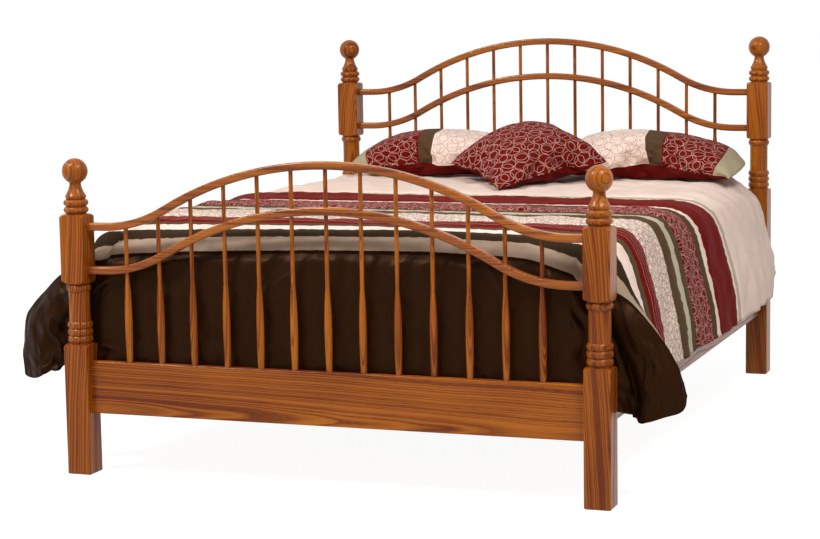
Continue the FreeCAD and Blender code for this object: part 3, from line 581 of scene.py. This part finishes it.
# the comforter, in mm: u runs across it, t from the head (+) to the foot (-) along the flat top
cover = {
    "head": 1036, "foot": -1440, "half": 1190,
    "topHalf": 700, "topFoot": -945, "midFoot": -1250,
    # where each band starts, and its cloth: there is a seam at each start
    "bands": [(-1440, "chocolate"), (-1062, "taupe"), (-1000, "darkOlive"), (-930, "cream"), (-868, "olive"),
              (-815, "burgundy"), (-711, "cream"), (-513, "olive"), (-439, "sage"), (-391, "olive"),
              (-344, "burgundy"), (-175, "olive"), (-127, "cream"), (-90, "burgundy"), (139, "cream"),
              (171, "sage"), (195, "cream")],
    "satinSeam": -1062,    # where the chocolate satin starts, which is also where the cover turns down
    "ringBand": (-338, -181), "loopBand": (-708, -518), "lineBand": (-806, -720),
    "looseHem": (-152, -62), "turnedEdge": (-1090, -1030),
    "footClear": -1059, "betweenPosts": 748,    # the foot drop passes the footboard's rails between its posts
    "thick": 8, "spacing": 12.5,
    "puff": 5.0, "puffWide": 18, "seamDeep": 5.0, "seamWide": 11.0,
    "hemRises": 760, "hemShort": 0.16,    # the hem rounds up towards the head from here, by this share
    "folds": 9,
    # soft creases in the foot drop: from (u, t) to (u, t), how high and how wide
    "creases": [((-700, -1330), (-420, -1150), 7, 26), ((-690, -1200), (-500, -1085), 5, 20),
                ((-560, -1400), (-250, -1200), 6, 34), ((-120, -1120), (-60, -1400), 5, 38),
                ((170, -1110), (240, -1400), 5, 42), ((430, -1120), (400, -1390), 5, 36),
                ((690, -1180), (560, -1330), 6, 30)],
    # how far the foot edge sinks below its middle at x, and how much of that reaches each t
    "footSink": [(-760, 42), (-703, 38), (-660, 33), (-552, 26), (-442, 20), (-98, 8), (264, 2), (467, 8),
                 (562, 13), (610, 24), (658, 40), (702, 54), (760, 62)],
    "sinkAlong": [(-1440, 0), (-1250, 0.55), (-1130, 0.95), (-1062, 1), (-1000, 0.95), (-945, 0.62),
                  (-860, 0.3), (-700, 0)],
    "topRise": [(1036, 715), (300, 716), (-200, 722), (-711, 728), (-945, 728)],   # (t, z)
    # side drop: at each t the line (x, z) from the edge of the flat top to the hem
    "sideDrop": {
        1036: [(700, 715), (735, 690), (760, 668), (790, 640), (812, 580), (832, 490), (852, 410), (866, 301)],
        500: [(700, 716), (765, 703), (806, 678), (832, 636), (858, 560), (880, 470), (895, 390), (902, 322)],
        139: [(700, 718), (768, 706), (812, 680), (840, 635), (866, 555), (888, 465), (902, 385), (907, 323)],
        -90: [(700, 720), (762, 712), (802, 692), (828, 657), (857, 561), (876, 470), (892, 390), (904, 323)],
        -342: [(700, 724), (755, 720), (790, 705), (812, 668), (837, 589), (856, 495), (871, 420), (884, 320)],
        -513: [(700, 726), (752, 722), (785, 710), (806, 676), (830, 605), (850, 510), (866, 430), (886, 316)],
        -711: [(700, 728), (752, 722), (784, 704), (808, 670), (832, 600), (852, 525), (868, 430), (886, 310)],
        -860: [(700, 728), (752, 721), (786, 700), (810, 660), (834, 590), (856, 510), (876, 420), (897, 306)],
        -945: [(700, 728), (752, 718), (786, 694), (812, 648), (842, 580), (876, 500), (908, 420), (944, 306)],
    },
    "footDrop": [(-945, 728), (-990, 720), (-1026, 698), (-1048, 660), (-1054, 610), (-1056, 500), (-1057, 400),
                 (-1057, 300)],
    # the corners that spread beside the foot posts: the ridge, then the middles and hem of the front face
    "right": {
        "ridge": [(700, -1050, 672), (755, -1036, 628), (815, -1030, 582), (853, -1026, 558), (890, -1022, 522),
                  (922, -1020, 485), (947, -1018, 450), (968, -1016, 417), (988, -1014, 378), (998, -1012, 348),
                  (1010, -1010, 305)],
        "middle": [(905, -1020, 500), (888, -1034, 450), (862, -1034, 425), (838, -1004, 420), (815, -1030, 425),
                   (760, -1044, 455), (700, -1056, 486)],
        "hem": [(1010, -1010, 305), (1002, -1022, 268), (948, -1034, 246), (886, -1034, 226), (862, -990, 240),
                (842, -1024, 250), (760, -1044, 280), (700, -1057, 300)],
    },
    "left": {
        "ridge": [(700, -1050, 674), (755, -1036, 648), (815, -1030, 604), (885, -1020, 577), (940, -1012, 532),
                  (990, -1006, 481), (1012, -1004, 455), (1021, -1003, 405), (1027, -1000, 365),
                  (1018, -1000, 300)],
        "middle": [(910, -1018, 553), (894, -1032, 500), (868, -1030, 455), (842, -1008, 450), (815, -1032, 450),
                   (760, -1046, 468), (700, -1056, 486)],
        "hem": [(1018, -1000, 300), (1006, -1012, 270), (978, -1026, 264), (933, -1034, 280), (890, -1034, 302),
                (862, -1002, 300), (830, -1030, 288), (760, -1046, 290), (700, -1057, 300)],
    },
}


def coverLines(stops, spacing):
    # grid lines about `spacing` apart, with one on each stop
    lines = [stops[0]]
    for first, last in zip(stops[:-1], stops[1:]):
        count = max(1, round(abs(last - first) / spacing))
        lines.extend(first + (last - first) * i / count for i in range(1, count + 1))
    return np.array(lines, float)


def sideDropPoint(t, down):
    # (x, z) of the side drop at t, `down` mm over the edge of the flat top
    keys = sorted(cover["sideDrop"])
    reach = cover["half"] - cover["topHalf"]
    lines = np.stack([alongLine(cover["sideDrop"][key], down.ravel() / reach) for key in keys])
    place = np.interp(t.ravel(), keys, np.arange(len(keys)))
    i = np.clip(place.astype(int), 0, len(keys) - 2)
    part = (place - i)[:, None]
    picked = np.arange(len(i))
    return (lines[i, picked] * (1 - part) + lines[i + 1, picked] * part).reshape(t.shape + (2,))


def cornerPoint(corner, x, y):
    # a point of the corner: x and y are shares of the flat corner, 0 at the edge of the top and 1 at the hem
    fold = (cover["satinSeam"] - cover["topFoot"]) / (cover["foot"] - cover["topFoot"])
    tip = math.sqrt(1 - fold * fold)
    ridgeLine = np.array(corner["ridge"], float)
    ridgeLine[0] = (cover["topHalf"], *alongLine(cover["footDrop"], np.array([fold]))[0])
    ridge = alongLine(ridgeLine, x / tip)
    edge = sideDropPoint(np.full(x.shape, float(cover["topFoot"])), x * (cover["half"] - cover["topHalf"]))
    behind = np.stack([edge[..., 0], np.full(x.shape, float(cover["topFoot"])), edge[..., 1]], -1)
    part = smooth(y, 0, fold)[..., None] * 0.6 + np.clip(y / fold, 0, 1)[..., None] * 0.4
    side = behind * (1 - part) + ridge * part
    # the front face: rays from the top corner, turning from the ridge to the foot drop
    dx, dy = x, np.maximum(y - fold, 0)
    angle = np.arctan2(dy, np.maximum(dx, 1e-9))
    far = -fold * np.sin(angle) + np.sqrt(np.maximum(1 - (fold * np.cos(angle))**2, 0))
    q = np.clip(np.hypot(dx, dy) / far, 0, 1)
    turned = angle / (math.pi / 2)
    out = q[..., None]

    def ray(middle, hem):
        # from the top corner through the middle to the hem
        return (ridgeLine[0] * (1 - out) * (1 - 2 * out) + middle * 4 * out * (1 - out)
                + hem * out * (2 * out - 1))

    front = ray(alongLine(corner["middle"], turned), alongLine(corner["hem"], turned))
    firstRay, lastRay = [ray(np.array(corner["middle"][end]), np.array(corner["hem"][end])) for end in (0, -1)]
    front = front + (alongLine(ridgeLine, q) - firstRay) * (1 - turned[..., None])**2
    column = alongLine(cover["footDrop"], fold + q * (1 - fold))
    straight = np.stack([np.full(q.shape, float(cover["topHalf"])), column[..., 0], column[..., 1]], -1)
    front = front + (straight - lastRay) * turned[..., None]**4
    return np.where((y <= fold)[..., None], side, front)


def coverPoints(u, t):
    # u and t are the flat grid; the corners are rounded as they are cut
    side = np.abs(u)
    overSide = np.clip((side - cover["topHalf"]) / (cover["half"] - cover["topHalf"]), 0, 1)
    overFoot = np.clip((t - cover["topFoot"]) / (cover["foot"] - cover["topFoot"]), 0, 1)
    x = overSide * np.sqrt(1 - overFoot**2 / 2)
    y = overFoot * np.sqrt(1 - overSide**2 / 2)
    keys = cover["topRise"][::-1]
    flat = np.stack([side, t, np.interp(t, [k[0] for k in keys], [k[1] for k in keys])], -1)
    short = 1 - cover["hemShort"] * smooth(t, cover["hemRises"], cover["head"])**2
    down = overSide * short * (cover["half"] - cover["topHalf"])
    drop = sideDropPoint(np.maximum(t, cover["topFoot"]), down)
    drop = np.stack([drop[..., 0], t, drop[..., 1]], -1)
    foot = alongLine(cover["footDrop"], overFoot)
    foot = np.stack([side, foot[..., 0], foot[..., 1]], -1)
    right = cornerPoint(cover["right"], x, y)
    left = cornerPoint(cover["left"], x, y)
    corner = np.where((u > 0)[..., None], right, left)
    points = np.where((overSide > 0)[..., None], drop, flat)
    points = np.where((overFoot > 0)[..., None], np.where((overSide > 0)[..., None], corner, foot), points)
    points[..., 0] *= np.where(u < 0, -1, 1)
    reach = np.array([cover["half"] - cover["topHalf"], cover["topFoot"] - cover["foot"]])
    flatU = np.where(overSide > 0, cover["topHalf"] + x * reach[0], side) * np.sign(u)
    flatT = np.where(overFoot > 0, cover["topFoot"] - y * reach[1], t)
    sink = np.interp(points[..., 0], *np.array(cover["footSink"], float).T)
    sink *= np.interp(flatT, *np.array(cover["sinkAlong"], float).T)
    points[..., 2] -= sink * (1 - smooth(np.abs(points[..., 0]), 700, 830))
    return points, flatU, flatT


def comforter():
    top, half = cover["topHalf"], cover["half"]
    corner = cover["satinSeam"]
    seams = [start for start, tone in cover["bands"]] + [cover["head"]]
    rows = sorted(seams + [cover["topFoot"], cover["midFoot"]], reverse=True)
    across = coverLines([-half, -top, 0, top, half], cover["spacing"])
    u, t = np.meshgrid(across, coverLines(rows, cover["spacing"]))
    points, flatU, flatT = coverPoints(u, t)
    seams = np.array(seams, float)
    band = np.clip(np.searchsorted(seams, flatT, side="right") - 1, 0, len(seams) - 2)
    toSeam = np.minimum(flatT - seams[band], seams[band + 1] - flatT)
    wide = seams[band + 1] - seams[band]
    full = np.clip(wide / 120, 0.25, 1)
    puffed = cover["puff"] * full * (1 - np.exp(-toSeam / cover["puffWide"]))
    rise = puffed - cover["seamDeep"] * np.exp(-(toSeam / cover["seamWide"])**2)
    uneven = 3.5 * ripples(flatU, flatT, 210, 190, 5) + 1.6 * ripples(flatU, flatT, 70, 90, 6)
    rise += smooth(toSeam, 0, 40) * full * uneven
    rise += 1.3 * np.exp(-toSeam / 26) * ripples(flatU, flatT, 34, 120, 7)
    overSide = np.clip((np.abs(flatU) - top) / (half - top), 0, 1)
    rise += overSide**1.3 * (1 - 0.6 * smooth(overSide, 0.75, 1)) * 7 * ripples(flatT, flatU, 230, 1500, 8)
    overFoot = np.clip((cover["topFoot"] - flatT) / (cover["topFoot"] - cover["foot"]), 0, 1)
    rise += np.where(np.abs(u) < top, overFoot, 0) * 3 * ripples(flatU, flatT, 190, 1300, 9)
    # no groove where the corner turns over
    rise *= 1 - smooth(np.abs(flatU), top, top + 60) * np.exp(-((flatT - corner) / 30)**2)
    # the spread corners gather in folds that run out from the post to the hem
    outOf, down = np.maximum(np.abs(flatU) - top, 0), np.maximum(corner - flatT, 0)
    turn = np.degrees(np.arctan2(down, np.maximum(outOf, 1e-6)))
    reach = np.hypot(outOf, down)
    phase = turn * 11 + 40 * ripples(reach, turn * 3, 260, 240, 12) + np.where(u > 0, 0, 50)
    fold = np.abs(np.sin(np.radians(phase)))
    gathered = (outOf > 0) * smooth(reach, 50, 240) * (1 - 0.5 * smooth(reach, 360, 495))
    gathered = gathered * (0.3 + 0.7 * smooth(turn, 12, 45)) * (1 - smooth(turn, 76, 90))
    rise += gathered * cover["folds"] * ((1 - fold)**1.6 - 0.35)
    for start, end, high, wide in cover["creases"]:
        rise += crease(flatU, flatT, start, end, high, wide)
    points = points + gridNormals(points) * rise[..., None]
    # between the foot posts the drop stays clear of the footboard's rails, so that it can be lifted off
    beyond = np.maximum(cover["footClear"] - points[..., 1], 0)
    eased = np.maximum(points[..., 1], cover["footClear"]) - 3 * (1 - np.exp(-beyond / 3))
    points[..., 1] = np.where(np.abs(points[..., 0]) < cover["betweenPosts"], eased, points[..., 1])
    index = np.arange(u.size).reshape(u.shape)
    faces = np.stack([index[:-1, :-1], index[1:, :-1], index[1:, 1:], index[:-1, 1:]], -1).reshape(-1, 4)
    flat = np.stack([flatU, flatT], -1).reshape(-1, 2)
    item = clothMesh("bandedQuilt", points.reshape(-1, 3), faces, flat)
    satin = flatT[:-1, :-1].reshape(-1) <= cover["satinSeam"] + 1
    item.data.polygons.foreach_set("material_index", satin.astype(np.int32))
    return item


# the pillows, in mm: each is two squares of cloth sewn together, blown up as cloth and then laid down
leftSham = {"name": "leftSham", "node": "sham_left", "wide": 636, "deep": 357, "top": 106, "under": 56,
            "tilt": 15, "turn": 0, "place": (-358, 861.6, 791), "seed": 31, "outward": -1, "barrel": 0.08,
            "bands": [(0, "stone"), (88, "burgundy"), (276, "olive"), (330, "cream")],
            "droop": {(-1, 1): (0, 0, -50), (1, 1): (0, 0, -22)}}
rightSham = dict(leftSham, name="rightSham", node="sham_right", place=(446, 861.6, 791), seed=32, outward=1,
                 bands=[(0, "stone"), (74, "burgundy"), (268, "olive"), (324, "cream")],
                 droop={(1, 1): (16, 0, -74), (-1, 1): (0, 0, 2), (1, -1): (34, 0, -10)})
throwPillow = {"name": "throwPillow", "node": "throw_pillow", "wide": 445, "deep": 445, "top": 110, "under": 60,
               "tilt": 14, "turn": 48.5, "place": (44, 698, 803), "seed": 33, "barrel": 0.08,
               "droop": {(-1, -1): (-22, -62, -8), (1, -1): (-32, 0, -20), (1, 1): (-28, -6, 8),
                         (-1, 1): (14, 0, -18)}}
stuffing = {
    "rows": 46, "pressure": 5.0, "frames": 20,
    "slack": 1.07,           # the cloth is cut larger than the filled pillow
    "flatter": 0.35,         # share of the height before it is blown up
    "lowest": 719,           # the bed's top, where nothing lies on it
    "air": 1.5,              # left under the cloth
    "keep": 0.45,            # share of its thickness that the upper side keeps
    "give": 6,               # over this height the cloth is pressed, not cut off
}


def blowUp(item):
    # cloth under pressure, with no weight: the seam puckers as it pulls in
    modifier = item.modifiers.new("Cloth", "CLOTH")
    cloth = modifier.settings
    cloth.quality = 6
    cloth.mass = 0.25
    cloth.tension_stiffness = 25
    cloth.compression_stiffness = 20
    cloth.shear_stiffness = 8
    cloth.bending_stiffness = 0.35
    cloth.use_pressure = True
    cloth.uniform_pressure_force = stuffing["pressure"]
    cloth.effector_weights.gravity = 0
    modifier.point_cache.frame_start = 1
    modifier.point_cache.frame_end = stuffing["frames"]
    scene = bpy.context.scene
    for number in range(1, stuffing["frames"] + 1):
        scene.frame_set(number)
    shape = item.evaluated_get(bpy.context.evaluated_depsgraph_get())
    places = np.zeros(len(item.data.vertices) * 3, np.float32)
    shape.data.vertices.foreach_get("co", places)
    item.modifiers.remove(modifier)
    scene.frame_set(1)
    return places.reshape(-1, 3).astype(float) * 1000


def heightUnder(trees, x, y, lowest):
    # the highest surface under (x, y), in mm
    best = lowest
    for tree in trees:
        hit = tree.ray_cast(Vector((x / 1000, y / 1000, 2.0)), Vector((0, 0, -1)))
        if hit[0] is not None:
            best = max(best, hit[0].z * 1000)
    return best


def treeOf(item):
    mesh = item.data
    places = [vertex.co.copy() for vertex in mesh.vertices]
    return BVHTree.FromPolygons(places, [tuple(face.vertices) for face in mesh.polygons])


def pillow(settings, under):
    count = stuffing["rows"]
    line = np.linspace(-1, 1, count)
    line = np.sign(line) * (1 - (1 - np.abs(line))**1.15)
    a, b = np.meshgrid(line, line)
    # the corners are cut back a little, so that the sides don't look hollow
    x = settings["wide"] / 2 * stuffing["slack"] * a * (1 - settings["barrel"] * b * b)
    y = settings["deep"] / 2 * stuffing["slack"] * b * (1 - settings["barrel"] * a * a)
    swell = np.power(np.maximum((1 - a**4) * (1 - b**4), 0), 0.6)
    bumps = ripples(x, y, 90, 90, settings["seed"]) * 2.5 * swell
    over = np.stack([x, y, stuffing["flatter"] * settings["top"] * swell + bumps], -1)
    below = np.stack([x, y, -stuffing["flatter"] * settings["under"] * swell + bumps], -1)
    inside = np.zeros((count, count), bool)
    inside[1:-1, 1:-1] = True
    index = np.arange(count * count).reshape(count, count)
    lowIndex = np.where(inside, 0, index)
    lowIndex[inside] = count * count + np.arange(inside.sum())
    faces = np.concatenate([quads(index), quads(lowIndex)[:, ::-1]])
    points = np.concatenate([over.reshape(-1, 3), below[inside]])
    flat = np.concatenate([np.stack([a, b], -1).reshape(-1, 2), np.stack([a, b], -1)[inside]])
    half = np.array([settings["wide"], settings["deep"]]) / 2
    item = clothMesh(settings["name"], points, faces, flat * half)
    item.data.polygons.foreach_set("material_index", np.repeat([0, 1], len(faces) // 2).astype(np.int32))
    points = blowUp(item)
    # brought to the measured size
    low, high = points.min(0), points.max(0)
    points[:, 0] = (points[:, 0] - (low[0] + high[0]) / 2) * settings["wide"] / (high[0] - low[0])
    points[:, 1] = (points[:, 1] - (low[1] + high[1]) / 2) * settings["deep"] / (high[1] - low[1])
    points[:, 2] *= np.where(points[:, 2] > 0, settings["top"] / high[2], -settings["under"] / low[2])
    turn = np.array(Matrix.Rotation(math.radians(settings["tilt"]), 3, "X")
                    @ Matrix.Rotation(math.radians(settings["turn"]), 3, "Z"))
    placed = points @ turn.T + np.array(settings["place"])
    # the corners give: each is let down or pulled as listed
    for (side, end), pull in settings["droop"].items():
        share = ((1 + side * flat[:, 0]) * (1 + end * flat[:, 1]) / 4)[:, None]**1.6
        placed += share * np.array(pull, float)
    # laid down: the underside rests on what is there, the upper side keeps most of its height above it
    upper = np.zeros(len(points), bool)
    upper[:count * count] = inside.ravel()
    thick = np.zeros(len(points))
    thick[upper] = placed[upper, 2] - placed[count * count:, 2]
    give = stuffing["give"]
    for number, point in enumerate(placed):
        floor = heightUnder(under, point[0], point[1], stuffing["lowest"]) + stuffing["air"]
        if upper[number]:
            floor += stuffing["keep"] * thick[number]
        gap = (point[2] - floor) / give
        if gap < 1:
            point[2] = floor + give * math.exp(gap - 1)
    item.data.vertices.foreach_set("co", (placed / 1000).astype(np.float32).ravel())
    item.data.update()
    applyModifier(item, "SUBSURF", levels=1, render_levels=1)
    item.data.shade_smooth()
    return item


# the mattress and the foundation under it, in mm: a padded block with a taped edge above and below
mattressPad = {"name": "mattressPad", "node": "mattress", "slot": "mattress_cover", "inset": 3, "corner": 42,
               "spacing": 14, "tape": 6, "tapeWide": 5, "tapeIn": 24, "diamond": 150, "groove": 7, "pull": 5,
               "fill": 0.9, "gives": 8}    # it gives under the cover's sunken corners, by this much more
foundationBox = {"name": "foundationBox", "node": "foundation", "slot": "ticking", "inset": 4, "corner": 22,
                 "spacing": 26, "tape": 4, "tapeWide": 4, "tapeIn": 13, "diamond": 0, "groove": 0, "pull": 3,
                 "fill": 1.0, "gives": 0}


def blockLines(half, spacing, near):
    # grid lines across a block, closer at the rounded edges and on the tapes
    fine = np.linspace(half - near, half, max(6, round(near / 4)))
    coarse = np.linspace(0, half - near, max(2, round((half - near) / spacing)))
    line = np.concatenate([coarse, fine[1:]])
    return np.concatenate([-line[:0:-1], line])


def paddedBlock(settings):
    low, high = [np.array(corner) * 1000 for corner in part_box(settings["node"])]
    middle, half = (low + high) / 2, (high - low) / 2 - settings["inset"]
    near = settings["tapeIn"] + 3 * settings["tapeWide"]
    lines = [blockLines(size, settings["spacing"], near) for size in half]
    points, faces, flat = [], [], []
    for axis in range(3):
        first, second = [(1, 2), (2, 0), (0, 1)][axis]
        a, b = np.meshgrid(lines[first], lines[second])
        index = np.arange(a.size).reshape(a.shape)
        for side in (-1, 1):
            place = np.zeros(a.shape + (3,))
            place[..., first], place[..., second], place[..., axis] = a, b, side * half[axis]
            patch = quads(index) + sum(len(part) for part in points)
            faces.append(patch if side > 0 else patch[:, ::-1])
            points.append(place.reshape(-1, 3))
            # on the sides the cloth's length runs round the block and its width stands up
            level, upright = (b, a) if axis == 1 else (a, b)
            flat.append(np.stack([level, upright], -1).reshape(-1, 2))
    points, faces, flat = np.concatenate(points), np.concatenate(faces), np.concatenate(flat)
    core = np.clip(points, settings["corner"] - half, half - settings["corner"])
    out = points - core
    out /= np.linalg.norm(out, axis=1, keepdims=True)
    points = core + out * settings["corner"]
    upward = np.abs(out[:, 2])
    fromTape = np.abs(np.abs(points[:, 2]) - (half[2] - settings["tapeIn"]))
    rise = settings["tape"] * np.exp(-(fromTape / settings["tapeWide"])**2) * (1 - upward)
    # the border pulls in between the tapes, a little more between the corners
    rise -= settings["pull"] * (1 - upward)**2 * np.clip(fromTape / settings["tapeIn"], 0, 1)
    rise += 1.5 * ripples(points[:, 0] + points[:, 1], points[:, 2], 160, 400, 41) * (1 - upward)
    if settings["diamond"]:
        toLine = np.full(len(points), 1e9)
        for sign in (-1, 1):
            share = (points[:, 0] + sign * points[:, 1]) / settings["diamond"] % 1
            toLine = np.minimum(toLine, np.abs(share - 0.5) * settings["diamond"] * 0.7071)
        rise -= settings["groove"] * np.exp(-toLine / 22) * upward**2
    points = points + out * rise[:, None] + middle
    if settings["gives"]:
        sink = np.interp(points[:, 0], *np.array(cover["footSink"], float).T) + settings["gives"]
        sink = np.maximum(sink * np.interp(points[:, 1], *np.array(cover["sinkAlong"], float).T), 0)
        points[:, 2] -= sink * np.clip((points[:, 2] - middle[2]) / half[2], 0, 1)**0.7
    item = clothMesh(settings["name"], points, faces, flat)
    selectOnly(item)
    bpy.ops.object.mode_set(mode="EDIT")
    bpy.ops.mesh.select_all(action="SELECT")
    bpy.ops.mesh.remove_doubles(threshold=0.0001)
    bpy.ops.object.mode_set(mode="OBJECT")
    item.data.shade_smooth()
    return item


placeCamera()
paperFloor()
lightStudio()
print("camera, floor and lamps are in place")
finishFrame()
print("the frame has its oak, pine and zinc")

spread = comforter()
spread.data.materials.append(quiltCloth("bandedSateen", 0.7, 0.05, "#ffd9b6"))
spread.data.materials.append(quiltCloth("bandedSatin", 0.42, 0.22, "#e0a370"))
applyModifier(spread, "SOLIDIFY", thickness=cover["thick"] / 1000, offset=-1)
spread.data.shade_smooth()
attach(spread, "comforter")
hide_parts("comforter")
print("the comforter is spread")

backing = plainCloth("burgundySateen", cloths["backing"])
surfaces = [treeOf(spread)]
for settings, body, slot in ((leftSham, "shams", "sham_cloth"), (rightSham, "shams", "sham_cloth"),
                             (throwPillow, "throw_pillow", "throw_cloth")):
    item = pillow(settings, surfaces)
    item.data.materials.append(shamCloth(settings) if slot == "sham_cloth" else throwCloth())
    item.data.materials.append(backing)
    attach(item, body)
    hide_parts(settings["node"])
    if slot == "sham_cloth":
        surfaces.append(treeOf(item))
print("the pillows are stuffed")

for settings, finish in ((mattressPad, tickingCloth("knitTicking", "#e3dfd6", "#d2ccc0", 64)),
                         (foundationBox, tickingCloth("wovenTicking", "#d8d2c6", "#7d8799", 32))):
    item = paddedBlock(settings)
    item.data.materials.append(finish)
    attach(item, settings["node"])
    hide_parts(settings["node"])
print("mattress and foundation are in")
